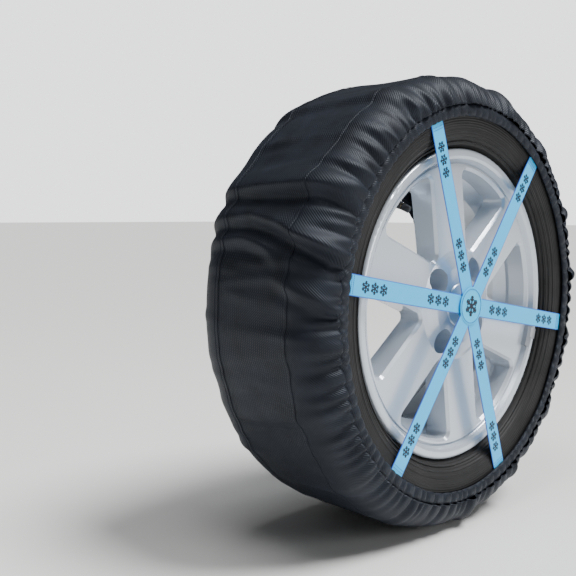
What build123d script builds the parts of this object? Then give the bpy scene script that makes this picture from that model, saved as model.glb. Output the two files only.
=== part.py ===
"""Snow sock fitted on a passenger-car wheel, modelled as separate named pieces.

Frame: millimetres, the wheel axis is Y, the street face looks along -Y, +Z is up
and the origin is the centre of the wheel.  Angles in the wheel plane are counted
counter-clockwise from +X as seen from the street side.
"""
import os
from math import cos, hypot, radians, sin, sqrt

from build123d import *

os.makedirs("parts", exist_ok=True)

# Rim, size 15 x 6J
FLANGE_R = 207.4
FLANGE_FACE = 76.2
RIM_HALF = 88.0
SEAT_R = 190.1
HUMP_R = 189.4
WELL_R = 168.0
PAD_Y = -44.0
PAD_R = 74.0
BORE_R = 28.3
SPIGOT_DEEP = 14.0
HUB_FACE = -86.5
HUB_FACE_R = 52.0
RIM_FACE = -80.0
SPOKE_TOP_R = 74.0

# Spokes and the windows between them
SPOKES = 6
WINDOW_START = 8.3
SPOKE_WIDE = 68.0
WINDOW_R = 182.0
TIP_ROUND = 10.0
CORNER_ROUND = 10.0
WINDOW_DRAFT = 2.0
EDGE_BEVEL = 3.5

# Wheel bolts and centre cap pocket
BOLTS = 4
BOLT_START = 53.3
BOLT_PCD = 114.3
BOLT_HOLE_R = 7.4
WELL_MOUTH_R = 16.5
SEAT_CONE_R = 12.5
SEAT_Y = -58.0
CAP_POCKET_R = 30.2
CAP_POCKET_Y = -82.0
CAP_BORE_R = 28.9

# Tyre, size 195/55 R15
TYRE_R = 297.75
TYRE_HALF = 100.5
TYRE_WIDEST_R = 249.0
CROWN_HALF = 58.0
SHOULDER_MID = (284.5, 88.0)
GROOVE_WIDE = 9.0
GROOVE_DEEP = 7.5
GROOVE_PLACES = (-42.0, -14.0, 14.0, 42.0)

# Snap-in valve, seated in the slope between bead seat and drop well
VALVE_ANGLE = 127.0
VALVE_R = 175.2
VALVE_Y = -44.8
VALVE_LEAN = 32.3
VALVE_HOLE_R = 5.75
VALVE_WALL = 5.3
CORE_R = 3.8
CORE_BORE_R = 1.5
PIN_R = 0.8
PIN_TRAVEL = 1.5

# Clip-on balance weight
WEIGHT_ANGLE = 343.5
WEIGHT_SPAN = 13.0

# Sock cloth and its hems
FIT_GAP = 0.4
CLOTH = 1.2
BAND_HALF = 62.0
OUT_HEM_R = 247.0
OUT_HEM_Y = -102.2
IN_HEM_R = 180.0
IN_HEM_Y = 99.0
HEM_WIDE = 15.0
CASING_CLOTH = 0.8
ELASTIC_THICK = 1.8
ELASTIC_WIDE = 10.0
SEAM_WIDE = 6.0
SEAM_THICK = 0.9

# Webbing cross and its centre patches
STRAP_WIDE = 25.0
STRAP_THICK = 1.1
STRAP_ANGLES = (170.0, 109.5, 52.1)
STRAP_LAYERS = (-100.65, -101.75, -102.85)
STRAP_END_R = 257.0
STRAP_END_Y = -101.55
CROSS_FLAT = 38.0
PATCH_R = 25.0
PATCH_THICK = 0.8


def keep(piece, name):
    """Name one finished piece and write it to its own file."""
    piece.label = name
    export_step(piece, f"parts/{name}.step")


# --- rim_barrel: flanges, bead seats, safety humps, drop well and valve hole ---
valve_x = VALVE_R * cos(radians(VALVE_ANGLE))
valve_z = VALVE_R * sin(radians(VALVE_ANGLE))
valve_dir = Vector(
    -sin(radians(VALVE_LEAN)) * cos(radians(VALVE_ANGLE)), -cos(radians(VALVE_LEAN)),
    -sin(radians(VALVE_LEAN)) * sin(radians(VALVE_ANGLE)))
valve_plane = Plane(origin=(valve_x, VALVE_Y, valve_z), z_dir=valve_dir)
with BuildPart() as rim_barrel:
    with BuildSketch(Plane.XY):
        with BuildLine():
            Polyline(
                (193, -FLANGE_FACE), (SEAT_R, -73.5), (188.3, -53), (HUMP_R, -50),
                (187.2, -46.5), (WELL_R, -34), (WELL_R, -6), (178, 6), (180, 44),
                (187.2, 46.5), (HUMP_R, 50), (188.3, 53), (SEAT_R, 73.5),
                (193, FLANGE_FACE), (202, FLANGE_FACE))
            ThreePointArc((202, FLANGE_FACE), (206.2, 78), (FLANGE_R, 82))
            ThreePointArc((FLANGE_R, 82), (206, 86.4), (202, RIM_HALF))
            Polyline(
                (202, RIM_HALF), (196, RIM_HALF), (186, 80), (183, 70), (182.5, 53),
                (174, 42), (172, 8), (162.5, -5), (162.5, -35), (179.5, -47),
                (180.3, -52), (181.1, -76.5), (184.9, RIM_FACE - 0.3),
                (187.4, RIM_FACE - 0.3), (187.9, -76.6), (189, -76), (191.5, RIM_FACE),
                (194, -85.6), (197.5, -RIM_HALF), (202, -RIM_HALF))
            ThreePointArc((202, -RIM_HALF), (206, -86.4), (FLANGE_R, -82))
            ThreePointArc((FLANGE_R, -82), (206.2, -78), (202, -FLANGE_FACE))
            Line((202, -FLANGE_FACE), (193, -FLANGE_FACE))
        make_face()
    revolve(axis=Axis.Y)
    with Locations(valve_plane):
        Cylinder(VALVE_HOLE_R, 16, mode=Mode.SUBTRACT)
    with Locations(valve_plane):
        Cylinder(
            9, 6, mode=Mode.SUBTRACT, align=(Align.CENTER, Align.CENTER, Align.MIN))
keep(rim_barrel.part, "rim_barrel")

# --- rim_centre: hub and six spokes, cast in one with the barrel and ending on it ---
# Plane whose local +X is world +X and whose normal looks toward the car, so
# its turning angles run the other way round from the street-side angles.
rim_front = Plane(origin=(0, -95, 0), x_dir=(1, 0, 0), z_dir=(0, 1, 0))

# a window's straight sides run along the two spokes beside it
tip_r = SPOKE_WIDE
reach = WINDOW_R + 12
side_run = sqrt(reach**2 - (tip_r / 2) ** 2) - tip_r * cos(radians(30))
side_x = tip_r + side_run * cos(radians(30))
side_y = side_run * sin(radians(30))
with BuildSketch(rim_front) as windows:
    with PolarLocations(0, SPOKES, start_angle=-WINDOW_START):
        Polygon((tip_r, 0), (side_x, -side_y), (side_x, side_y), align=None)
    Circle(WINDOW_R, mode=Mode.INTERSECT)
    tips = windows.vertices().filter_by(lambda v: hypot(v.X, v.Y) < WINDOW_R - 1)
    fillet(tips, TIP_ROUND)
    corners = windows.vertices().filter_by(lambda v: hypot(v.X, v.Y) > WINDOW_R - 1)
    fillet(corners, CORNER_ROUND)

with BuildPart() as rim_centre:
    with BuildSketch(Plane.XY):
        with BuildLine():
            Polyline(
                (BORE_R, PAD_Y), (PAD_R, PAD_Y), (PAD_R + 4, PAD_Y - 4), (150, -46),
                (178, PAD_Y), (185, -50), (186, RIM_FACE), (SPOKE_TOP_R, RIM_FACE),
                (68, RIM_FACE - 2.3), (HUB_FACE_R, HUB_FACE), (BORE_R, HUB_FACE), close=True)
        make_face()
    revolve(axis=Axis.Y)
    extrude(windows.sketch, amount=60, taper=WINDOW_DRAFT, mode=Mode.SUBTRACT)
    window_rims = rim_centre.edges().filter_by(
        lambda e: e.center().Y < RIM_FACE + 1
        and SPOKE_TOP_R < hypot(e.center().X, e.center().Z) < WINDOW_R + 1)
    chamfer(window_rims, EDGE_BEVEL)
    # centre cap pocket
    with BuildSketch(rim_front):
        Circle(CAP_POCKET_R)
    extrude(amount=CAP_POCKET_Y + 95, mode=Mode.SUBTRACT)
    with BuildSketch(rim_front):
        Circle(CAP_BORE_R)
    extrude(amount=95 + PAD_Y - SPIGOT_DEEP, mode=Mode.SUBTRACT)
    # bolt wells with conical seats
    with BuildSketch(rim_front):
        with PolarLocations(BOLT_PCD / 2, BOLTS, start_angle=-BOLT_START):
            Circle(WELL_MOUTH_R)
    extrude(amount=SEAT_Y + 95, mode=Mode.SUBTRACT)
    with BuildSketch(rim_front.offset(95 + SEAT_Y + 8)):
        with PolarLocations(BOLT_PCD / 2, BOLTS, start_angle=-BOLT_START):
            Circle(BOLT_HOLE_R)
    extrude(amount=10, mode=Mode.SUBTRACT)
    for step in range(BOLTS):
        turn = radians(BOLT_START + step * 360 / BOLTS)
        seat = (BOLT_PCD / 2 * cos(turn), SEAT_Y, BOLT_PCD / 2 * sin(turn))
        with Locations(Plane(origin=seat, x_dir=(1, 0, 0), z_dir=(0, 1, 0))):
            Cone(
                SEAT_CONE_R, BOLT_HOLE_R, 8.5, mode=Mode.SUBTRACT,
                align=(Align.CENTER, Align.CENTER, Align.MIN))
    add(rim_barrel.part, mode=Mode.SUBTRACT)
    # no metal in the valve's way
    with Locations(valve_plane):
        Cylinder(11, 44, mode=Mode.SUBTRACT)
keep(rim_centre.part, "rim_centre")

# --- tyre: moulded rubber ring, open toward the rim between its two beads ---
with BuildPart() as tyre:
    with BuildSketch(Plane.XY):
        with BuildLine():
            Line((TYRE_R, -CROWN_HALF), (TYRE_R, CROWN_HALF))
            ThreePointArc((TYRE_R, CROWN_HALF), SHOULDER_MID, (265, 98.5))
            ThreePointArc((265, 98.5), (TYRE_WIDEST_R, TYRE_HALF), (222, 95.5))
            Polyline(
                (222, 95.5), (212, 88), (209.5, 82), (207.9, 79), (207.9, 76.0), (193, 76.0),
                (190.9, 73), (189.6, 55), (196, 55), (206, 70), (222, 87))
            ThreePointArc((222, 87), (248, 93), (272, 86))
            ThreePointArc((272, 86), (281, 77), (285, 58))
            Line((285, 58), (285, -58))
            ThreePointArc((285, -58), (281, -77), (272, -86))
            ThreePointArc((272, -86), (248, -93), (222, -87))
            Polyline(
                (222, -87), (206, -70), (196, -55), (189.6, -55), (190.9, -73),
                (193, -76.0), (207.9, -76.0), (207.9, -79), (209.5, -82), (212, -88), (222, -95.5))
            ThreePointArc((222, -95.5), (TYRE_WIDEST_R, -TYRE_HALF), (265, -98.5))
            ThreePointArc((265, -98.5), (SHOULDER_MID[0], -SHOULDER_MID[1]), (TYRE_R, -CROWN_HALF))
        make_face()
        for place in GROOVE_PLACES:
            with Locations((TYRE_R, place)):
                Rectangle(2 * GROOVE_DEEP, GROOVE_WIDE, mode=Mode.SUBTRACT)
    revolve(axis=Axis.Y)
    # raised rings moulded on the lower sidewalls
    for side in (-1, 1):
        with BuildSketch(Plane.XY):
            for ring_r, ring_y in ((215.5, 91.6), (222.5, 95.4), (229.5, 97.9)):
                with Locations((ring_r, side * ring_y)):
                    Circle(0.9)
        revolve(axis=Axis.Y)
keep(tyre.part, "tyre")

# --- valve_stem: snap-in rubber stem with its foot bulb inside the tyre ---
with BuildPart() as valve_stem:
    with BuildSketch(Plane.XZ):
        with BuildLine():
            Polyline(
                (CORE_R + 0.02, -12), (8.6, -12), (9.4, -9.5), (8.2, -VALVE_WALL - 0.3),
                (VALVE_HOLE_R - 0.05, -VALVE_WALL - 0.3), (VALVE_HOLE_R - 0.05, 0.2),
                (7.6, 0.2), (7.8, 3.5), (6.4, 6), (5.2, 19.5), (4.6, 20.5),
                (CORE_R + 0.02, 20.5), close=True)
        make_face()
    revolve(axis=Axis.Z)
keep(valve_plane.location * valve_stem.part, "valve_stem")

# --- valve_core: brass stem tube moulded into the rubber ---
with BuildPart() as valve_core:
    with BuildSketch(Plane.XZ):
        with BuildLine():
            Polyline(
                (CORE_BORE_R, -10), (CORE_R, -10), (CORE_R, 28.6), (CORE_R - 0.6, 29.4),
                (CORE_BORE_R, 29.4), close=True)
        make_face()
    revolve(axis=Axis.Z)
keep(valve_plane.location * valve_core.part, "valve_core")

# --- valve_pin: sprung pin of the valve core, pressed in to let air through ---
with BuildPart() as valve_pin:
    with Locations((0, 0, 14)):
        Cylinder(PIN_R, 15, align=(Align.CENTER, Align.CENTER, Align.MIN))
    with Locations((0, 0, 14)):
        Cylinder(1.35, 1.2, align=(Align.CENTER, Align.CENTER, Align.MIN))
keep(valve_plane.location * valve_pin.part, "valve_pin")

# --- valve_cap: moulded dust cap ---
with BuildPart() as valve_cap:
    with Locations((0, 0, 21.2)):
        Cylinder(4.7, 11.3, align=(Align.CENTER, Align.CENTER, Align.MIN))
    fillet(valve_cap.faces().sort_by(Axis.Z)[-1].edges(), 1.0)
    with Locations((0, 0, 21.2)):
        Cylinder(
            CORE_R + 0.08, 9.3, mode=Mode.SUBTRACT,
            align=(Align.CENTER, Align.CENTER, Align.MIN))
keep(valve_plane.location * valve_cap.part, "valve_cap")

# --- centre_cap: plastic cap with claws that reach into the cap bore ---
CAP_R = 29.6
CAP_FACE = -88.6
CLAWS = 6
CLAW_END = -61.0
with BuildPart() as claw_ring:
    with BuildSketch(Plane.XY):
        with BuildLine():
            Polyline(
                (26.2, CAP_FACE + 3.6), (27.7, CAP_FACE + 3.6), (27.7, -66), (28.1, -64.5),
                (27.0, CLAW_END), (26.2, CLAW_END), close=True)
        make_face()
    revolve(axis=Axis.Y)
    with BuildSketch(rim_front):
        with PolarLocations(27, CLAWS):
            Rectangle(10, 9)
    extrude(amount=60, mode=Mode.SUBTRACT)

with BuildPart() as centre_cap:
    with BuildSketch(Plane.XY):
        with BuildLine():
            ThreePointArc((0, CAP_FACE), (18, CAP_FACE + 0.4), (CAP_R - 1.5, CAP_FACE + 1.6))
            Polyline(
                (CAP_R - 1.5, CAP_FACE + 1.6), (CAP_R, CAP_FACE + 3.2),
                (CAP_R, CAP_POCKET_Y - 0.05), (CAP_R - 1.8, CAP_POCKET_Y - 0.05),
                (CAP_R - 1.8, CAP_FACE + 4.2), (0, CAP_FACE + 4.2), (0, CAP_FACE))
        make_face()
    revolve(axis=Axis.Y)
    add(claw_ring.part)
keep(centre_cap.part, "centre_cap")

# --- cap_ring: steel wire ring that spreads the claws ---
WIRE_R = 0.9
with BuildPart() as cap_ring:
    with BuildSketch(Plane.XY):
        with Locations((26.2 - WIRE_R - 0.05, -65)):
            Circle(WIRE_R)
    revolve(axis=Axis.Y)
keep(cap_ring.part, "cap_ring")


# --- balance_weight and weight_clip: zinc weight held by a steel clip on the lip ---
def lip_arc(outline, span):
    """Turn an outline of radius and Y points through the span about the weight's angle."""
    with BuildPart() as strip:
        with BuildSketch(Plane.XY):
            with BuildLine():
                Polyline(*outline, close=True)
            make_face()
        revolve(axis=Axis.Y, revolution_arc=span)
    return Rot(0, -(WEIGHT_ANGLE + span / 2), 0) * strip.part


weight_cut = (
    (185.6, -80.3), (190.9, -80.3), (193.2, -86.2), (194.6, -88.5), (190, -88.9),
    (186, -86.5))
clip_cut = (
    (194.6, -88.6), (202.2, -88.15), (204.5, -87.85), (206.5, -86.6), (207.7, -84.2),
    (208.5, -84.4), (207.3, -87.4), (204.8, -88.8), (202.3, -89.1), (194.0, -89.7),
    (190, -89.2), (190.2, -88.95))
keep(lip_arc(weight_cut, WEIGHT_SPAN), "balance_weight")
keep(lip_arc(clip_cut, WEIGHT_SPAN / 3), "weight_clip")

# --- tread_band: woven cloth around the tread ---
BAND_R = TYRE_R + FIT_GAP
with BuildPart() as tread_band:
    with BuildSketch(Plane.XY):
        with Locations((BAND_R + CLOTH / 2, 0)):
            Rectangle(CLOTH, 2 * BAND_HALF)
    revolve(axis=Axis.Y)
keep(tread_band.part, "tread_band")

# --- outer_panel: cloth over the street-side shoulder down to the hem ---
PANEL_EDGE_R = OUT_HEM_R + HEM_WIDE
with BuildPart() as outer_panel:
    with BuildSketch(Plane.XY):
        with BuildLine():
            ThreePointArc(
                (BAND_R + CLOTH, -BAND_HALF), (287.3, -91.9),
                (PANEL_EDGE_R, OUT_HEM_Y - CLOTH))
            Line((PANEL_EDGE_R, OUT_HEM_Y - CLOTH), (PANEL_EDGE_R, OUT_HEM_Y))
            ThreePointArc((PANEL_EDGE_R, OUT_HEM_Y), (286.4, -91.1), (BAND_R, -BAND_HALF))
            Line((BAND_R, -BAND_HALF), (BAND_R + CLOTH, -BAND_HALF))
        make_face()
    revolve(axis=Axis.Y)
keep(outer_panel.part, "outer_panel")

# --- inner_panel: deeper cloth side on the car side, reaching in over the rim lip ---
IN_EDGE_R = IN_HEM_R + HEM_WIDE
IN_BULGE = (258, 104.5)
with BuildPart() as inner_panel:
    with BuildSketch(Plane.XY):
        with BuildLine():
            ThreePointArc(
                (BAND_R + CLOTH, BAND_HALF), (287.6, 92.9), (IN_BULGE[0], IN_BULGE[1] + CLOTH))
            Line((IN_BULGE[0], IN_BULGE[1] + CLOTH), (IN_EDGE_R, IN_HEM_Y + CLOTH))
            Line((IN_EDGE_R, IN_HEM_Y + CLOTH), (IN_EDGE_R, IN_HEM_Y))
            Line((IN_EDGE_R, IN_HEM_Y), IN_BULGE)
            ThreePointArc(IN_BULGE, (286.7, 92.0), (BAND_R, BAND_HALF))
            Line((BAND_R, BAND_HALF), (BAND_R + CLOTH, BAND_HALF))
        make_face()
    revolve(axis=Axis.Y)
keep(inner_panel.part, "inner_panel")

# --- seams: overlocked ridges where the tread band meets each side panel ---
for side, name in ((-1, "seam_outer"), (1, "seam_inner")):
    with BuildPart() as seam:
        with BuildSketch(Plane.XY):
            with Locations(
                    (BAND_R + CLOTH + SEAM_THICK / 2, side * (BAND_HALF - SEAM_WIDE / 2))):
                Rectangle(SEAM_THICK, SEAM_WIDE)
        revolve(axis=Axis.Y)
    keep(seam.part, name)

# --- hems: cloth folded back over an elastic, the fold at the inner edge ---
POCKET = ELASTIC_THICK + 0.2
HEM_DEEP = 2 * CASING_CLOTH + POCKET
for side, fold_r, base_y, name in (
        (-1, OUT_HEM_R, OUT_HEM_Y, "outer"), (1, IN_HEM_R, IN_HEM_Y, "inner")):
    middle_y = base_y + side * HEM_DEEP / 2
    with BuildPart() as hem:
        with BuildSketch(Plane.XY):
            with Locations((fold_r + HEM_WIDE / 2, middle_y)):
                Rectangle(HEM_WIDE, HEM_DEEP)
            with Locations((fold_r + CASING_CLOTH + HEM_WIDE / 2, middle_y)):
                Rectangle(HEM_WIDE, POCKET, mode=Mode.SUBTRACT)
        revolve(axis=Axis.Y)
    keep(hem.part, f"{name}_hem")
    with BuildPart() as elastic:
        with BuildSketch(Plane.XY):
            with Locations((fold_r + 1.2 + ELASTIC_WIDE / 2, middle_y)):
                Rectangle(ELASTIC_WIDE, ELASTIC_THICK)
        revolve(axis=Axis.Y)
    keep(elastic.part, f"{name}_elastic")

# --- straps: three webbing strips laid over one another at the centre ---
for turn, layer_y, name in zip(STRAP_ANGLES, STRAP_LAYERS, "abc"):
    lower = STRAP_THICK / 2
    spine = (
        (-STRAP_END_R, STRAP_END_Y), (-OUT_HEM_R, STRAP_END_Y), (-CROSS_FLAT, layer_y),
        (CROSS_FLAT, layer_y), (OUT_HEM_R, STRAP_END_Y), (STRAP_END_R, STRAP_END_Y))
    with BuildPart() as strap:
        with BuildSketch(Plane.XY):
            with BuildLine():
                Polyline(
                    *[(x, y - lower) for x, y in spine],
                    *[(x, y + lower) for x, y in reversed(spine)], close=True)
            make_face()
        extrude(amount=STRAP_WIDE / 2, both=True)
    keep(Rot(0, -turn, 0) * strap.part, f"strap_{name}")

# --- bar_tacks: close stitching that holds each strap end to the hem ---
TACK_ROWS = (252.0, 257.0)
TACK_SIZE = (1.8, 0.5, 21.0)
with BuildPart() as bar_tacks:
    for turn in STRAP_ANGLES:
        for way in (0, 180):
            with Locations(Rot(0, -turn - way, 0)):
                with Locations(*[
                        (row, OUT_HEM_Y - HEM_DEEP - TACK_SIZE[1] / 2, 0) for row in TACK_ROWS]):
                    Box(*TACK_SIZE)
keep(bar_tacks.part, "bar_tacks")

# --- centre patches: one round cloth disc in front of the cross and one behind ---
for name, base_y in (
        ("patch_back", STRAP_LAYERS[0] + STRAP_THICK / 2 + PATCH_THICK),
        ("patch_front", STRAP_LAYERS[2] - STRAP_THICK / 2)):
    with BuildPart() as patch:
        with BuildSketch(Plane.XZ.offset(-base_y)):
            Circle(PATCH_R)
        extrude(amount=PATCH_THICK)
    keep(patch.part, name)

# --- patch_stitch: lockstitch ring around the front patch ---
STITCH_R = PATCH_R - 2.6
with BuildPart() as patch_stitch:
    with BuildSketch(Plane.XZ.offset(-(STRAP_LAYERS[2] - STRAP_THICK / 2 - PATCH_THICK))):
        Circle(STITCH_R + 0.35)
        Circle(STITCH_R - 0.35, mode=Mode.SUBTRACT)
    extrude(amount=0.35)
keep(patch_stitch.part, "patch_stitch")
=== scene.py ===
import math

import bpy
import numpy as np
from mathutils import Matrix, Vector


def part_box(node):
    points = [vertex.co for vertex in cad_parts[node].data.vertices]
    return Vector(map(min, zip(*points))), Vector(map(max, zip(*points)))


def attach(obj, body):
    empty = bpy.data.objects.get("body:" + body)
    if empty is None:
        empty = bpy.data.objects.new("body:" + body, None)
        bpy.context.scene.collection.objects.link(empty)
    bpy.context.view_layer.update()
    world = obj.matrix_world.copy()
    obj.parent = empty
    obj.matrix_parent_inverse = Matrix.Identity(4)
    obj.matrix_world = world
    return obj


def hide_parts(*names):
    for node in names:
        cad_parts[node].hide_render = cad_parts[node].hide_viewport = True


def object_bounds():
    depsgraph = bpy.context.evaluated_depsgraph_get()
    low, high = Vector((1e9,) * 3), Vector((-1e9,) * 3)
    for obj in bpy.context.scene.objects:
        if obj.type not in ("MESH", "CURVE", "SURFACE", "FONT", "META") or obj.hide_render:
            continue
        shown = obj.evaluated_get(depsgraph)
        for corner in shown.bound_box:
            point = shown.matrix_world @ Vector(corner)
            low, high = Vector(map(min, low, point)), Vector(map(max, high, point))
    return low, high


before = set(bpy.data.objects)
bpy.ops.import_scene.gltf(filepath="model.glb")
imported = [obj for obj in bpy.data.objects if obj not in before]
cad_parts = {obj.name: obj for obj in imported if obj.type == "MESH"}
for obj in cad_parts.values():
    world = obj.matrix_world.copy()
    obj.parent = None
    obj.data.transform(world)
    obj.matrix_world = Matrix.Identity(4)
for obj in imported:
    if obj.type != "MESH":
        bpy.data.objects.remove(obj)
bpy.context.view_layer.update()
MM = 0.001


# ---- Rim -------------------------------------------------------------------
# One low-pressure casting in aluminium, lacquered silver. Its two CAD nodes, the
# centre with the spokes and the barrel, are shown as they are.
def linear(hex_colour):
    """Turn an sRGB hex colour into the linear values that a shader takes."""
    parts = [int(hex_colour[i:i + 2], 16) / 255 for i in (1, 3, 5)]
    return [c / 12.92 if c <= 0.04045 else ((c + 0.055) / 1.055) ** 2.4 for c in parts] + [1.0]


def new_material(name, colour, roughness, metallic=0.0, **sockets):
    """Make a Principled material and return it with its node tree and shader node."""
    made = bpy.data.materials.new(name)
    made.use_nodes = True
    shader = made.node_tree.nodes["Principled BSDF"]
    shader.inputs["Base Color"].default_value = linear(colour)
    shader.inputs["Roughness"].default_value = roughness
    shader.inputs["Metallic"].default_value = metallic
    for socket, value in sockets.items():
        shader.inputs[socket.replace("_", " ")].default_value = value
    return made, made.node_tree, shader


def add_node(tree, kind, links=(), **values):
    """Add a node, set its properties or input sockets, and link outputs into its inputs."""
    made = tree.nodes.new(kind)
    for key, value in values.items():
        if hasattr(made, key):
            setattr(made, key, value)
        else:
            made.inputs[key.replace("_", " ")].default_value = value
    for socket, output in dict(links).items():
        tree.links.new(output, made.inputs[socket])
    return made


def add_bump(tree, shader, height, depth, strength=1.0):
    """Lead a height pattern into the shader as a bump that is depth metres deep."""
    bump = add_node(tree, "ShaderNodeBump", {"Height": height}, Strength=strength, Distance=depth)
    tree.links.new(bump.outputs["Normal"], shader.inputs["Normal"])


def dress(node, material):
    """Give a CAD node a material and leave its mesh alone."""
    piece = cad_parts[node]
    piece.data.materials.clear()
    piece.data.materials.append(material)
    return piece


LACQUER_GRAIN = 0.35 * MM
alloy, tree, shader = new_material(
    "lacquered cast aluminium", "#ccd4de", 0.26, 0.4, Coat_Weight=0.5, Coat_Roughness=0.1)
place = add_node(tree, "ShaderNodeTexCoord")
grain = add_node(
    tree, "ShaderNodeTexNoise", {"Vector": place.outputs["Object"]},
    Scale=1 / LACQUER_GRAIN / 6, Detail=2.0)
add_bump(tree, shader, grain.outputs["Fac"], 0.02 * MM, 0.4)
dress("rim_centre", alloy)
dress("rim_barrel", alloy)

# ---- Tyre ------------------------------------------------------------------
# Moulded carbon-black rubber. The mould leaves fine rings on the sidewall, and
# wear and dust turn the black a little grey.
RING_PITCH = 3.2 * MM
rubber, tree, shader = new_material("moulded tyre rubber", "#2b2a2b", 0.62, Specular_IOR_Level=0.35)
place = add_node(tree, "ShaderNodeTexCoord")
dust = add_node(
    tree, "ShaderNodeTexNoise", {"Vector": place.outputs["Object"]}, Scale=22.0, Detail=5.0)
tint = add_node(tree, "ShaderNodeValToRGB", {"Fac": dust.outputs["Fac"]})
tint.color_ramp.elements[0].position = 0.35
tint.color_ramp.elements[0].color = linear("#101011")
tint.color_ramp.elements[1].position = 0.75
tint.color_ramp.elements[1].color = linear("#222122")
tree.links.new(tint.outputs["Color"], shader.inputs["Base Color"])
split = add_node(tree, "ShaderNodeSeparateXYZ", {"Vector": place.outputs["Object"]})
flat = add_node(tree, "ShaderNodeCombineXYZ", {"X": split.outputs["X"], "Z": split.outputs["Z"]})
radius = add_node(tree, "ShaderNodeVectorMath", {0: flat.outputs["Vector"]}, operation="LENGTH")
turns = add_node(
    tree, "ShaderNodeMath", {0: radius.outputs["Value"]}, operation="MULTIPLY")
turns.inputs[1].default_value = 2 * math.pi / RING_PITCH
rings = add_node(tree, "ShaderNodeMath", {0: turns.outputs["Value"]}, operation="SINE")
add_bump(tree, shader, rings.outputs["Value"], 0.25 * MM, 0.8)
dress("tyre", rubber)

# ---- Valve -----------------------------------------------------------------
# Snap-in tyre valve: a moulded rubber stem with a brass tube and sprung pin,
# closed by a small plastic cap.
valve_rubber, tree, shader = new_material("valve rubber", "#1c1c1d", 0.55)
brass, tree, shader = new_material("turned brass", "#c9a761", 0.3, 1.0)
cap_plastic, tree, shader = new_material("moulded cap plastic", "#161617", 0.42)
dress("valve_stem", valve_rubber)
dress("valve_core", brass)
dress("valve_pin", brass)
dress("valve_cap", cap_plastic)

# ---- Balance weight --------------------------------------------------------
# Coated zinc weight, hooked on the lip by a plated spring-steel clip.
zinc, tree, shader = new_material("coated zinc", "#9a9ea4", 0.5, 0.6)
clip_steel, tree, shader = new_material("plated spring steel", "#b9bcc2", 0.3, 1.0)
dress("balance_weight", zinc)
dress("weight_clip", clip_steel)
dress("cap_ring", clip_steel)

# ---- Centre cap ------------------------------------------------------------
# Moulded plastic cap with silver lacquer, pushed into the hub by its claws.
cap_lacquer, tree, shader = new_material(
    "silver lacquered plastic", "#c9d0da", 0.3, 0.45, Coat_Weight=0.4, Coat_Roughness=0.1)
dress("centre_cap", cap_lacquer)

# ---- Sock cloth ------------------------------------------------------------
# Black woven polyester in three parts, tread band and two side panels, sewn
# together and drawn in by elastic hems. Folds run from the hems over the
# shoulders, and the longest ones cross the whole tread.
BAND_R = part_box("tread_band")[1].x / MM
BAND_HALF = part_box("tread_band")[1].y / MM
OUT_STITCH_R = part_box("outer_hem")[1].x / MM
OUT_STITCH_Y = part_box("outer_panel")[0].y / MM
IN_STITCH_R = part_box("inner_hem")[1].x / MM
IN_STITCH_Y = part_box("inner_hem")[0].y / MM + 1.2
IN_BULGE_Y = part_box("inner_panel")[1].y / MM
CLOTH = 0.8
AROUND = 540


def arc_through(a, b, c, count):
    """Points of the circle arc from a over b to c, in radius and Y."""
    a, b, c = (complex(*p) for p in (a, b, c))
    w = (c - a) / (b - a)
    centre = (a - b) * (w - abs(w) ** 2) / 2j / w.imag - a
    centre = -centre
    start, middle, end = (np.angle(p - centre) for p in (a, b, c))
    turn = np.angle(np.exp(1j * (middle - start))) + np.angle(np.exp(1j * (end - middle)))
    angles = start + turn * np.linspace(0, 1, count)
    return np.stack([centre.real + abs(a - centre) * np.cos(angles),
                     centre.imag + abs(a - centre) * np.sin(angles)], axis=1)


outer_part = arc_through(
    (OUT_STITCH_R, OUT_STITCH_Y), (287.3, -91.9), (BAND_R, -BAND_HALF), 40)
band_part = np.stack([np.full(60, BAND_R), np.linspace(-BAND_HALF, BAND_HALF, 60)], axis=1)
bulge_part = arc_through((BAND_R, BAND_HALF), (287.6, 92.9), (258, IN_BULGE_Y), 40)
side_part = np.stack(
    [np.linspace(258, IN_STITCH_R, 30), np.linspace(IN_BULGE_Y, IN_STITCH_Y, 30)], axis=1)
spine = np.concatenate([outer_part, band_part[1:], bulge_part[1:], side_part[1:]])
steps = np.hypot(*np.diff(spine, axis=0).T)
spine_s = np.concatenate([[0], np.cumsum(steps)])
LENGTH = spine_s[-1]
S_BAND = spine_s[39]
S_INNER = S_BAND + 2 * BAND_HALF
tangent = np.gradient(spine, spine_s, axis=0)
tangent /= np.hypot(*tangent.T)[:, None]
outward = np.stack([tangent[:, 1], -tangent[:, 0]], axis=1)

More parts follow.
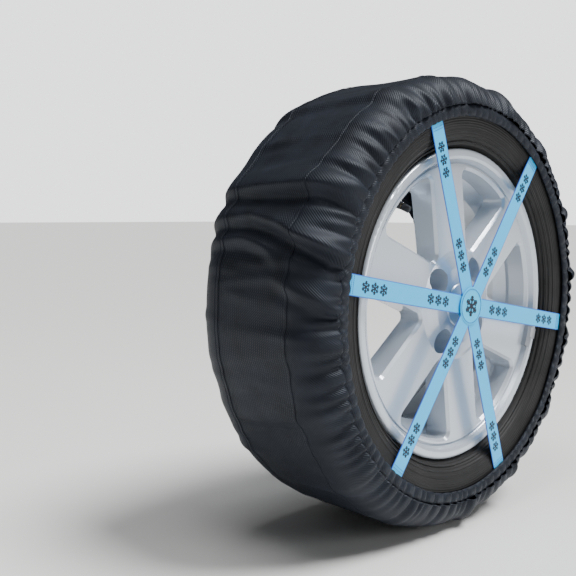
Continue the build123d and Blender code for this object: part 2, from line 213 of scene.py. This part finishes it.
# Long folds: a path of angle in degrees, distance from the outer hem in mm and
# ridge height in mm, then the widths of the upper and the lower flank. The lower
# flank is the steep one, because the cloth sags over it.
LONG_FOLDS = (
    # across the tread, level with the upper left of the wheel
    (((149.3, 6, 6), (149.6, 30, 11), (150.1, 82, 14), (150.2, 140, 12), (150.4, 200, 6),
      (151, 260, 2)), 26, 7),
    (((164.2, -4, 5), (163, 32, 11), (159.2, 88, 11), (157.1, 140, 8), (158, 195, 5),
      (160, 250, 2)), 14, 7),
    (((172, -4, -3), (165.4, 22, -4), (163.3, 69, -4), (160.6, 124, -3.5), (159.9, 179, -2)), 7, 7),
    (((166.5, 80, 1), (164, 109, 6), (162.2, 148, 6), (163.3, 198, 4), (165, 240, 2)), 10, 7),
    (((177.6, -4, 4), (174.9, 24, 6), (172, 67, 5), (170.5, 95, 1)), 11, 7),
    (((158, -4, 2), (158, 60, 4), (158, 180, 3), (158, 260, 1)), 46, 52),
    # fold drawn toward the strap at the upper left
    (((114, -4, 3), (117.4, 12, 6), (118.8, 34, 6), (119.9, 104, 5), (122.8, 178, 5),
      (127, 240, 3)), 24, 8),
    (((109.5, -4, 4), (111.5, 20, 4), (112.5, 60, 1)), 8, 6),
    (((103.5, -4, 4), (102.4, 22, 3.6), (101, 58, 1)), 8, 6),
    (((142.4, -4, 4), (143, 30, 4), (142, 60, 1)), 10, 5),
    (((134.9, 132, 1), (136.4, 160, 3.5), (137.6, 190, 1)), 10, 6),
    (((130, -4, 4), (131, 26, 4), (131, 60, 1)), 10, 6),
    # lower left, lying close
    (((186, -4, 3), (187, 60, 3), (190, 150, 2), (191, 230, 1)), 16, 9),
    (((199, -4, 3), (201, 60, 3.4), (204, 130, 3), (203, 200, 1)), 16, 11),
    (((221, -4, 3), (224, 80, 3), (227, 160, 1)), 16, 12),
    (((246, 4, 3), (248, 90, 3), (250, 190, 2)), 14, 10),
    # round the rest of the wheel
    (((272, -4, 4), (275, 80, 4), (274, 200, 4), (271, 260, 2)), 13, 10),
    (((296, 0, 4), (297, 100, 4), (301, 210, 2)), 14, 10),
    (((322, -4, 4), (320, 90, 5), (324, 180, 4), (327, 250, 2)), 13, 10),
    (((345, 0, 4), (349, 120, 4), (347, 230, 2)), 12, 9),
    (((6, -4, 5), (9, 90, 5), (12, 210, 2)), 13, 9),
    (((27, 0, 4), (24, 110, 4), (28, 240, 2)), 13, 10),
    (((51, -4, 4), (50, 80, 4), (46, 190, 4), (44, 260, 2)), 14, 10),
    (((72, 0, 4), (76, 110, 4), (74, 230, 2)), 14, 10),
    (((92, -4, 4), (90, 70, 3), (93, 160, 1)), 13, 10),
)


# Radius that turns a fold's angle into a distance along the cloth, share of a
# ridge's height by which the trough under it dips, and the length over which a
# fold starts and ends.
FOLD_R = 290
TROUGH = 0.4
FOLD_START, FOLD_END = 16, 30
# a fold with a flank as wide as this is a loose area and gets no trough
BROAD = 30


def fold_height(theta, s):
    """Height of the long folds over the cloth's lowest lie, in mm."""
    height = np.zeros(np.broadcast(theta, s).shape)
    for path, upper, lower in LONG_FOLDS:
        turn, along, ridge = np.array(path, float).T
        middle = np.interp(s, along, turn)
        high = np.interp(s, along, ridge)
        high = high * np.clip((s - along[0] + 8) / FOLD_START, 0, 1)
        high = high * np.clip((along[-1] + FOLD_END - s) / FOLD_END, 0, 1)
        off = np.radians((theta - middle + 180) % 360 - 180) * FOLD_R
        height += high * np.exp(-(off / np.where(off < 0, upper, lower)) ** 2)
        if upper < BROAD:
            dip = np.exp(-((off - 2.1 * lower) / lower) ** 2)
            height -= TROUGH * np.maximum(high, 0) * dip
    return height


draw = np.random.default_rng(7)


def make_gathers(count, shortest, longest, shallow, deep):
    """Draw one puckered valley after another round a hem: angle, length, depth, lean."""
    gaps = draw.uniform(0.6, 1.4, count)
    places = np.cumsum(gaps) / gaps.sum() * 360
    lengths = shortest + (longest - shortest) * draw.random(count) ** 2.2
    depths = draw.uniform(shallow, deep, count)
    leans = draw.normal(0, 0.05, count)
    return list(zip(places, lengths, depths, leans))


OUTER_GATHERS = make_gathers(108, 14, 60, 4.0, 9.0)
INNER_GATHERS = make_gathers(64, 26, 110, 2.8, 7.0)
WRINKLES = [
    (draw.uniform(0, 360), draw.uniform(30, 250), draw.uniform(0.6, 1.8), draw.uniform(5, 11),
     draw.uniform(25, 70), draw.normal(0, 0.1)) for _ in range(90)]


def gather_depth(theta, away, gathers, radius):
    """Depth of the puckers at a distance from their hem, in mm."""
    depth = np.zeros(np.broadcast(theta, away).shape)
    reach = np.maximum(away, 0)
    for turn, length, deep, lean in gathers:
        off = (theta - turn + 180) % 360 - 180
        off = np.radians(off) * radius + lean * reach
        wide = 2.4 + 0.08 * reach
        depth += deep * np.exp(-reach / length) * np.exp(-(off / wide) ** 2)
    return depth


# Slack that puffs the cloth up beside a hem: its height and the distance over
# which it dies out. Then the cloth's lowest lie over the tyre's CAD skin.
OUTER_SLACK, OUTER_REACH = 6.0, 42
INNER_SLACK, INNER_REACH = 5.4, 80
INNER_GATHER_R = 215
LOWEST = -0.45
SOFTNESS = 2.2


def cloth_lift(theta, s):
    """Height of the cloth over its lowest lie: folds, gathers and small wrinkles."""
    lift = fold_height(theta, s)
    slack_out = OUTER_SLACK * np.exp(-np.maximum(s, 0) / OUTER_REACH)
    lift += slack_out - gather_depth(theta, s, OUTER_GATHERS, OUT_STITCH_R)
    away = LENGTH - s
    slack_in = INNER_SLACK * np.exp(-np.maximum(away, 0) / INNER_REACH)
    lift += slack_in - gather_depth(theta, away, INNER_GATHERS, INNER_GATHER_R)
    for turn, along, high, wide, run, lean in WRINKLES:
        off = np.radians((theta - turn + 180) % 360 - 180) * FOLD_R + lean * (s - along)
        lift += high * np.exp(-(off / wide) ** 2 - ((s - along) / run) ** 2)
    return LOWEST + np.logaddexp(0, (lift - LOWEST) * SOFTNESS) / SOFTNESS


def cloth_point(theta, s):
    """Place of the cloth at an angle and a distance from the outer hem, in mm."""
    base_r = np.interp(s, spine_s, spine[:, 0])
    base_y = np.interp(s, spine_s, spine[:, 1])
    out_r = np.interp(s, spine_s, outward[:, 0])
    out_y = np.interp(s, spine_s, outward[:, 1])
    lift = cloth_lift(theta, s)
    r = base_r + out_r * lift
    turn = np.radians(theta)
    return np.stack([r * np.cos(turn), base_y + out_y * lift, r * np.sin(turn)], axis=-1)


def grid_piece(name, points, u_values, v_values, closed=True):
    """Make a quad mesh from rows of points, with a UV map in metres along and across."""
    rows, columns = points.shape[:2]
    vertices = (points * MM).reshape(-1, 3)
    wrap = columns if closed else columns - 1
    faces, coordinates = [], []
    for i in range(rows - 1):
        for j in range(wrap):
            k = (j + 1) % columns
            faces.append((i * columns + j, i * columns + k, (i + 1) * columns + k,
                          (i + 1) * columns + j))
            coordinates += [(u_values[j], v_values[i]), (u_values[j + 1], v_values[i]),
                            (u_values[j + 1], v_values[i + 1]), (u_values[j], v_values[i + 1])]
    mesh = bpy.data.meshes.new(name)
    mesh.from_pydata([tuple(v) for v in vertices], [], faces)
    layer = mesh.uv_layers.new(name="cloth")
    layer.data.foreach_set("uv", np.array(coordinates).ravel())
    mesh.shade_smooth()
    piece = bpy.data.objects.new(name, mesh)
    bpy.context.scene.collection.objects.link(piece)
    return piece


def thicken(piece, thickness, levels=1, rim=True):
    """Round the cage off and give the cloth its thickness."""
    soft = piece.modifiers.new("round", "SUBSURF")
    soft.levels = soft.render_levels = levels
    solid = piece.modifiers.new("cloth", "SOLIDIFY")
    solid.thickness = thickness * MM
    solid.offset = 1.0
    solid.use_rim = rim
    return piece


def cloth_material(name, twill_pitch, rib_pitch):
    """Black polyester: a fine diagonal twill, and ribs where the tread is reinforced."""
    made, tree, shader = new_material(
        name, "#1a1f28", 0.52, Specular_IOR_Level=0.34, Sheen_Weight=0.04, Sheen_Roughness=0.4)
    shader.inputs["Sheen Tint"].default_value = linear("#b4c2dc")
    shader.inputs["Specular Tint"].default_value = linear("#dde5f4")
    uv = add_node(tree, "ShaderNodeUVMap", uv_map="cloth")
    twill = add_node(
        tree, "ShaderNodeTexWave", {"Vector": uv.outputs["UV"]}, wave_type="BANDS",
        bands_direction="DIAGONAL", Scale=0.314 / twill_pitch, Distortion=0.6)
    twill.inputs["Detail"].default_value = 1.0
    worn = add_node(
        tree, "ShaderNodeTexNoise", {"Vector": uv.outputs["UV"]}, Scale=30.0, Detail=6.0)
    tint = add_node(tree, "ShaderNodeValToRGB", {"Fac": worn.outputs["Fac"]})
    tint.color_ramp.elements[0].position = 0.3
    tint.color_ramp.elements[0].color = linear("#0a0d12")
    tint.color_ramp.elements[1].position = 0.8
    tint.color_ramp.elements[1].color = linear("#1b202a")
    tree.links.new(tint.outputs["Color"], shader.inputs["Base Color"])
    height = twill.outputs["Fac"]
    if rib_pitch:
        rib = add_node(
            tree, "ShaderNodeTexWave", {"Vector": uv.outputs["UV"]}, wave_type="BANDS",
            bands_direction="Y", Scale=0.314 / rib_pitch)
        both = add_node(tree, "ShaderNodeMath", {0: height, 1: rib.outputs["Fac"]}, operation="ADD")
        height = both.outputs["Value"]
    add_bump(tree, shader, height, 0.25 * MM, 0.9)
    return made


theta = np.arange(AROUND) * 360 / AROUND
arc_u = np.radians(np.arange(AROUND + 1) * 360 / AROUND) * BAND_R * MM
side_cloth = cloth_material("polyester twill", 1.6 * MM, None)
tread_cloth = cloth_material("ribbed polyester twill", 1.6 * MM, 3.4 * MM)


def cloth_piece(name, s_from, s_to, rows, material, *nodes):
    """Cut one part of the sock from the whole lie of the cloth."""
    s_values = np.linspace(s_from, s_to, rows)
    points = cloth_point(theta[None, :], s_values[:, None])
    piece = grid_piece(name, points, arc_u, s_values * MM)
    thicken(piece, CLOTH)
    piece.data.materials.append(material)
    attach(piece, "sock")
    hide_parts(*nodes)
    return piece


# every part of the cloth is cut as one strip, a little longer than the tyre's
# circumference, and the hems gather it in
cloth_piece("outer_side_cloth", 0, S_BAND, 16, side_cloth, "outer_panel")
cloth_piece("tread_cloth", S_BAND, S_INNER, 23, tread_cloth, "tread_band")
cloth_piece("inner_side_cloth", S_INNER, LENGTH, 23, side_cloth, "inner_panel")

# ---- Cloth seams -----------------------------------------------------------
# Overlocked seams where the tread band is sewn to the two side panels. They lie
# nearly flush with the cloth and follow its folds.
SEAM_WIDE = 4.0
SEAM_HIGH = 0.05
seam_rows = np.linspace(-1, 1, 5)
for name, s_seam, node in (
        ("outer_overlock", S_BAND + 3, "seam_outer"), ("inner_overlock", S_INNER - 3, "seam_inner")):
    rows = []
    for across in seam_rows:
        s_here = s_seam + across * SEAM_WIDE / 2
        flat_point = cloth_point(theta, np.array(s_here))
        arm = flat_point * [1, 0, 1]
        arm /= np.linalg.norm(arm, axis=1)[:, None]
        rows.append(flat_point + arm * (CLOTH + SEAM_HIGH * (1 - across ** 2) - 0.15))
    seam = grid_piece(name, np.array(rows), arc_u, (s_seam + seam_rows * SEAM_WIDE / 2) * MM)
    thicken(seam, 0.2)
    seam.data.materials.append(side_cloth)
    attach(seam, "sock")
    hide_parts(node)

# ---- Hems ------------------------------------------------------------------
# The cloth edge is folded back and sewn down over an elastic, which gathers it
# into a row of soft puffs.
def hem_piece(name, node, fold_r, stitch_r, stitch_y, side, puff, gathers):
    """Make one gathered casing: the section runs from the stitches round the fold."""
    wide = stitch_r - fold_r
    section = (
        (1.0, 0.0), (0.86, 0.62), (0.62, 1.0), (0.36, 1.02), (0.14, 0.8), (0.0, 0.36),
        (0.02, 0.0), (0.16, -0.28), (0.5, -0.3), (0.9, -0.22))
    valley = np.zeros(AROUND)
    for turn, length, deep, lean in gathers:
        off = np.radians((theta - turn + 180) % 360 - 180) * fold_r
        valley += min(1.0, deep / 3.0) * np.exp(-(off / 2.6) ** 2)
    valley = np.clip(valley, 0, 1)
    drift = 0.9 * np.sin(np.radians(theta) * 7 + 1.1) + 0.6 * np.sin(np.radians(theta) * 16)
    rows = []
    turn = np.radians(theta)
    for across, up in section:
        lift = stitch_y + side * (up * puff * (1 - 0.75 * valley * (up > 0)))
        r = fold_r + across * wide + (1 - across) * (drift * 0.6 + 0.9 * valley)
        shift = (1 - across) * 0.6 * drift
        rows.append(np.stack([r * np.cos(turn), lift + side * shift * 0.4, r * np.sin(turn)], axis=-1))
    steps_v = np.linspace(0, 2 * wide, len(section)) * MM
    piece = grid_piece(name, np.array(rows[::int(-side)]), arc_u, steps_v)
    thicken(piece, CLOTH)
    piece.data.materials.append(side_cloth)
    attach(piece, "sock")
    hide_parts(node)
    return piece


# the casing's fold lies this far inside the outer edge of its elastic
FOLD_INSIDE = 11.3
hem_piece(
    "outer_hem_casing", "outer_hem",
    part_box("outer_elastic")[1].x / MM - FOLD_INSIDE, OUT_STITCH_R, OUT_STITCH_Y, -1, 4.4,
    OUTER_GATHERS)
hem_piece(
    "inner_hem_casing", "inner_hem",
    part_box("inner_elastic")[1].x / MM - FOLD_INSIDE, IN_STITCH_R, IN_STITCH_Y, 1, 4.2,
    INNER_GATHERS)
elastic_weave, tree, shader = new_material("braided elastic", "#1a1a1c", 0.7)
dress("outer_elastic", elastic_weave)
dress("inner_elastic", elastic_weave)

# ---- Webbing straps --------------------------------------------------------
# Three strips of 25 mm polyester webbing cross the street face and are sewn
# into the outer hem. Light blue with a printed row of snow crystals.
STRAPS = (
    ("strap_a", 170.0, -100.65),
    ("strap_b", 109.5, -101.75),
    ("strap_c", 52.1, -102.85),
)
STRAP_WIDE = 25.0
STRAP_THICK = 1.1
END_R = 256.0
END_Y = -101.55
FLAT_R = 38.0
web_blue, tree, shader = new_material("dyed polyester webbing", "#08c0ff", 0.5, Sheen_Weight=0.15)
uv = add_node(tree, "ShaderNodeUVMap", uv_map="cloth")
warp = add_node(
    tree, "ShaderNodeTexWave", {"Vector": uv.outputs["UV"]}, wave_type="BANDS",
    bands_direction="Y", Scale=0.314 / (1.3 * MM))
weft = add_node(
    tree, "ShaderNodeTexWave", {"Vector": uv.outputs["UV"]}, wave_type="BANDS",
    bands_direction="X", Scale=0.314 / (1.9 * MM))
weave = add_node(
    tree, "ShaderNodeMath", {0: warp.outputs["Fac"], 1: weft.outputs["Fac"]}, operation="MULTIPLY")
add_bump(tree, shader, weave.outputs["Value"], 0.2 * MM, 0.8)
# painted shade: the top face turns from light blue to a deep blue over the last 1.6 mm towards each
# long edge of the strap
edge_place = add_node(tree, "ShaderNodeSeparateXYZ", {"Vector": uv.outputs["UV"]})
edge = add_node(tree, "ShaderNodeMath", {0: edge_place.outputs["Y"]}, operation="ABSOLUTE")
painted_edge_shade = add_node(tree, "ShaderNodeMapRange", {"Value": edge.outputs["Value"]})
painted_edge_shade.inputs["From Min"].default_value = (STRAP_WIDE / 2 - 1.6) * MM
painted_edge_shade.inputs["From Max"].default_value = (STRAP_WIDE / 2 - 0.4) * MM
edge_shade_mix = add_node(tree, "ShaderNodeMix", {"Factor": painted_edge_shade.outputs["Result"]}, data_type="RGBA")
edge_shade_mix.inputs["A"].default_value = linear("#08c0ff")
edge_shade_mix.inputs["B"].default_value = linear("#0450c8")
tree.links.new(edge_shade_mix.outputs["Result"], shader.inputs["Base Color"])
ink, tree, shader = new_material("navy print ink", "#050b26", 0.5)


def strap_level(along, layer):
    """Y of the strap's middle at a distance from the wheel's axis."""
    share = np.clip((np.abs(along) - FLAT_R) / (OUT_STITCH_R - 14 - FLAT_R), 0, 1)
    return layer + (END_Y - layer) * share


def placed_on_strap(points, turn, layer):
    """Turn flat strap points (along, across, proud) into their place on the wheel."""
    along, across, proud = np.moveaxis(points, -1, 0)
    cosine, sine = math.cos(math.radians(turn)), math.sin(math.radians(turn))
    return np.stack([
        along * cosine - across * sine, strap_level(along, layer) - proud,
        along * sine + across * cosine], axis=-1)


FLAKE_R = 7.2


def flake_bars():
    """Bars of one six-armed snow crystal: ends and width, in mm."""
    bars = []
    for arm in range(6):
        way = math.radians(60 * arm + 30)
        tip = Vector((math.cos(way), math.sin(way))) * FLAKE_R
        bars.append((Vector((0, 0)), tip, 1.7))
        for share, size in ((0.5, 0.36), (0.78, 0.24)):
            for lean in (-1, 1):
                side_way = way + lean * math.radians(58)
                branch = Vector((math.cos(side_way), math.sin(side_way))) * FLAKE_R * size
                bars.append((tip * share, tip * share + branch, 1.35))
    return bars


def print_piece(name, centres, scale, turn, layer, proud):
    """Lay printed snow crystals on a strap, each bar a hair above the one before."""
    corners, faces = [], []
    for centre in centres:
        for n, (start, end, wide) in enumerate(flake_bars()):
            along = (end - start).normalized()
            across = Vector((-along.y, along.x)) * wide / 2
            for spot in (start - across, end - across, end + across, start + across):
                corners.append((centre + spot.x * scale, spot.y * scale, proud + 0.002 * n))
            k = len(corners)
            faces.append((k - 1, k - 2, k - 3, k - 4))
    placed = placed_on_strap(np.array(corners), turn, layer) * MM
    mesh = bpy.data.meshes.new(name)
    mesh.from_pydata([tuple(v) for v in placed], [], faces)
    piece = bpy.data.objects.new(name, mesh)
    bpy.context.scene.collection.objects.link(piece)
    mesh.materials.append(ink)
    solid = piece.modifiers.new("ink", "SOLIDIFY")
    solid.thickness = 0.08 * MM
    solid.offset = -1.0
    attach(piece, "sock")
    return piece


PRINT_RS = (72.0, 200.0)
PRINT_STEP = 16.5
across_marks = np.array([-1, -0.93, -0.5, 0, 0.5, 0.93, 1]) * STRAP_WIDE / 2
for node, turn, layer in STRAPS:
    along_marks = np.concatenate([
        np.linspace(-END_R, -FLAT_R - 6, 16), np.linspace(-FLAT_R, FLAT_R, 7),
        np.linspace(FLAT_R + 6, END_R, 16)])
    rows = np.zeros((len(across_marks), len(along_marks), 3))
    rows[..., 0] = along_marks[None, :]
    rows[..., 1] = across_marks[:, None]
    rows[..., 2] = -STRAP_THICK / 2
    strap = grid_piece(
        f"{node}_webbing", placed_on_strap(rows, turn, layer),
        along_marks * MM, across_marks * MM, closed=False)
    solid = strap.modifiers.new("webbing", "SOLIDIFY")
    solid.thickness = STRAP_THICK * MM
    solid.offset = 1.0
    bevel = strap.modifiers.new("selvedge", "BEVEL")
    bevel.width = 0.35 * MM
    bevel.segments = 2
    bevel.limit_method = "ANGLE"
    strap.data.materials.append(web_blue)
    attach(strap, "sock")
    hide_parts(node)
    for way in (1, -1):
        spots = [way * r + PRINT_STEP * k for r in PRINT_RS for k in (-1, 0, 1)]
        print_piece(
            f"{node}_print_{'ab'[way < 0]}", spots, 1.0, turn, layer,
            STRAP_THICK / 2 + 0.03)

# ---- Strap stitching -------------------------------------------------------
# Two rows of lockstitch in blue thread hold each strap end to the hem.
thread_blue, tree, shader = new_material("blue polyester thread", "#1f6fc4", 0.6)


def stitch_piece(name, stitches, radius, node):
    """Sew short thread stitches given as pairs of end points in mm."""
    curve = bpy.data.curves.new(name, "CURVE")
    curve.dimensions = "3D"
    curve.bevel_depth = radius * MM
    curve.bevel_resolution = 2
    curve.use_fill_caps = True
    for start, end in stitches:
        spline = curve.splines.new("POLY")
        spline.points.add(2)
        middle = (np.array(start) + np.array(end)) / 2 + [0, -radius * 0.9, 0]
        for point, spot in zip(spline.points, (start, middle, end)):
            point.co = (*(np.array(spot) * MM), 1)
    curve.materials.append(thread_blue)
    piece = bpy.data.objects.new(name, curve)
    bpy.context.scene.collection.objects.link(piece)
    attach(piece, "sock")
    if node:
        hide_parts(node)
    return piece


STITCH_ROWS = (238.5, 242.0)
STITCHES = 9
FIRST_STITCH = -10.6
STITCH_PITCH = 2.4
STITCH_LONG = 1.8
tack_lines = []
for node, turn, layer in STRAPS:
    for way in (1, -1):
        for row_r in STITCH_ROWS:
            for n in range(STITCHES):
                across = FIRST_STITCH + n * STITCH_PITCH
                ends = np.array([
                    (way * row_r, across, STRAP_THICK / 2 + 0.05),
                    (way * row_r, across + STITCH_LONG, STRAP_THICK / 2 + 0.05)])
                tack_lines.append(tuple(placed_on_strap(ends, turn, layer)))
stitch_piece("strap_end_stitches", tack_lines, 0.28, "bar_tacks")

# ---- Centre patches --------------------------------------------------------
# A round patch of coated cloth is sewn over the crossing, and a second one
# behind it. The front one carries one large printed snow crystal.
PATCH_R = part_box("patch_front")[1].x / MM
patch_cloth, tree, shader = new_material("coated polyester patch", "#18c6ff", 0.5, Sheen_Weight=0.1)
place = add_node(tree, "ShaderNodeTexCoord")
nap = add_node(
    tree, "ShaderNodeTexNoise", {"Vector": place.outputs["Object"]}, Scale=900.0, Detail=2.0)
add_bump(tree, shader, nap.outputs["Fac"], 0.1 * MM, 0.5)
patch_turn = np.arange(96) * 360 / 96
patch_u = np.arange(97) * MM
for name, node, base_y, side in (
        ("front_patch_cloth", "patch_front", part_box("patch_front")[0].y / MM, -1),
        ("back_patch_cloth", "patch_back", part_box("patch_back")[1].y / MM, 1)):
    rows = []
    for share in (0.04, 0.3, 0.6, 0.84, 0.95, 1.0):
        droop = 0.9 * max(0.0, share - 0.6) ** 2 * (1 - np.cos(np.radians(patch_turn * 6)))
        r = PATCH_R * share
        rows.append(np.stack([
            r * np.cos(np.radians(patch_turn)), base_y - side * (droop + 0.1),
            r * np.sin(np.radians(patch_turn))], axis=-1))
    points = np.array(rows[::side])
    patch = grid_piece(name, points, patch_u, np.linspace(0, 1, 6) * PATCH_R * MM)
    thicken(patch, 0.7)
    patch.modifiers["cloth"].offset = -1.0
    patch.data.materials.append(patch_cloth)
    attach(patch, "sock")
    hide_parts(node)
print_piece("front_patch_print", [0.0], 1.9, STRAPS[2][1], STRAPS[2][2], 1.33)
dress("patch_stitch", thread_blue)

# ---- Camera, floor and light -----------------------------------------------
# Plain studio: the camera stands at the left front of the wheel, a little above
# its axis. A soft sun from the upper right is the key light.
AZIMUTH, ELEVATION, AWAY = -52.63, 5.9, 1.183
AIM_YAW, AIM_PITCH, ROLL = 8.31, -0.72, 0.28


def back_of(azimuth, elevation):
    """Unit vector from the wheel toward a viewer at that azimuth and elevation."""
    a, e = math.radians(azimuth), math.radians(elevation)
    return Vector((math.sin(a) * math.cos(e), -math.cos(a) * math.cos(e), math.sin(e)))


back = back_of(AZIMUTH + AIM_YAW, ELEVATION + AIM_PITCH)
level = math.radians(AZIMUTH + AIM_YAW)
right = Vector((math.cos(level), math.sin(level), 0))
up = back.cross(right)
roll = math.radians(ROLL)
right, up = (
    right * math.cos(roll) + up * math.sin(roll), up * math.cos(roll) - right * math.sin(roll))
camera_data = bpy.data.cameras.new("camera")
camera_data.lens = 51.8
camera_data.sensor_width = 36.0
camera_data.clip_start = 0.05
camera = bpy.data.objects.new("camera", camera_data)
bpy.context.scene.collection.objects.link(camera)
camera.location = back_of(AZIMUTH, ELEVATION) * AWAY
turn_matrix = camera.matrix_world.to_3x3()
turn_matrix.col[0], turn_matrix.col[1], turn_matrix.col[2] = right, up, back
camera.rotation_euler = turn_matrix.to_euler()
bpy.context.scene.camera = camera

FLOOR_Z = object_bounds()[0][2] - 0.0005
floor_mesh = bpy.data.meshes.new("floor")
span = 30.0
floor_mesh.from_pydata(
    [(-span, -span, FLOOR_Z), (span, -span, FLOOR_Z), (span, span, FLOOR_Z),
     (-span, span, FLOOR_Z)], [], [(0, 1, 2, 3)])
floor = bpy.data.objects.new("floor", floor_mesh)
bpy.context.scene.collection.objects.link(floor)
floor_paint, tree, shader = new_material("white studio floor", "#f4f4f2", 0.9)
floor_mesh.materials.append(floor_paint)

# the backdrop shows white but lights the wheel only dimly
SURROUNDINGS, BACKDROP = 0.09, 2.2
world = bpy.data.worlds.new("studio")
world.use_nodes = True
tree = world.node_tree
ray = add_node(tree, "ShaderNodeLightPath")
glow = add_node(tree, "ShaderNodeMapRange", {"Value": ray.outputs["Is Camera Ray"]})
glow.inputs["To Min"].default_value = SURROUNDINGS
glow.inputs["To Max"].default_value = BACKDROP
tree.links.new(glow.outputs["Result"], tree.nodes["Background"].inputs["Strength"])
tree.nodes["Background"].inputs["Color"].default_value = linear("#fbfcff")
bpy.context.scene.world = world


def hang_light(name, kind, place, aim, power, **values):
    """Hang a light at a place, aimed at a point."""
    lamp = bpy.data.lights.new(name, kind)
    lamp.energy = power
    for key, value in values.items():
        setattr(lamp, key, value)
    holder = bpy.data.objects.new(name, lamp)
    bpy.context.scene.collection.objects.link(holder)
    holder.location = place
    holder.rotation_euler = (Vector(aim) - Vector(place)).to_track_quat("-Z", "Y").to_euler()


hang_light("key light", "SUN", (0.8, -1.1, 2.3), (0, 0, 0), 4.6, angle=0.4)
hang_light("top light", "AREA", (-0.5, -0.2, 1.6), (0, 0, 0.2), 14, size=0.9)
hang_light("front light", "AREA", (0.9, -2.2, 0.5), (0, 0, 0), 12, size=0.8)
